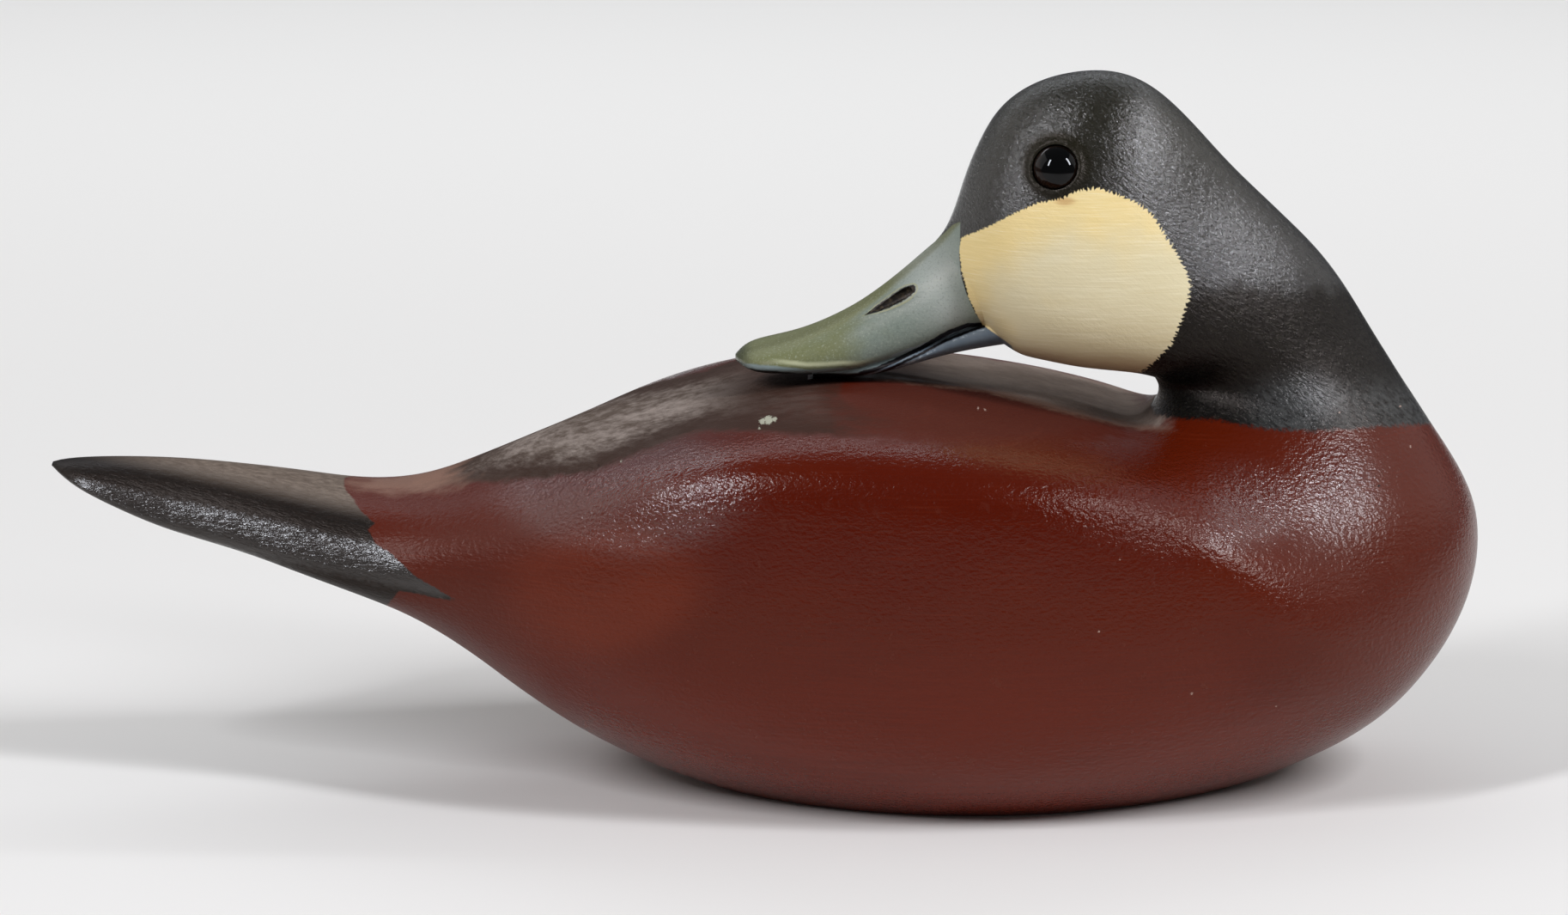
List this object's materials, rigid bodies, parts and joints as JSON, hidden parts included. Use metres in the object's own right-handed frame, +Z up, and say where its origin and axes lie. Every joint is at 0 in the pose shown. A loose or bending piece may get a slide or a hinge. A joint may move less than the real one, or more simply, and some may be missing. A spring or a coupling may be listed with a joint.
{
  "type": "ruddy duck decoy",
  "caption": "Carved and painted wooden duck decoy with its head turned back and its bill resting on its back, glass eyes and a flat underside.",
  "frame": {"origin": "on the ground under the middle of the duck's length, in its plane of symmetry", "axes": "+X towards the chest, -X towards the tail, +Z up; the head is turned back, so the bill points to -X; -Y is the side the picture shows"},
  "size_m": [0.2988, 0.129, 0.1488],
  "materials": {
    "painted_wood": "satin paint over wood",
    "glass_eye": "clear dome over a black pupil"
  },
  "bodies": {
    "root": {"carving": "painted_wood", "eye_left": "glass_eye", "eye_right": "glass_eye"}
  },
  "joints": []
}
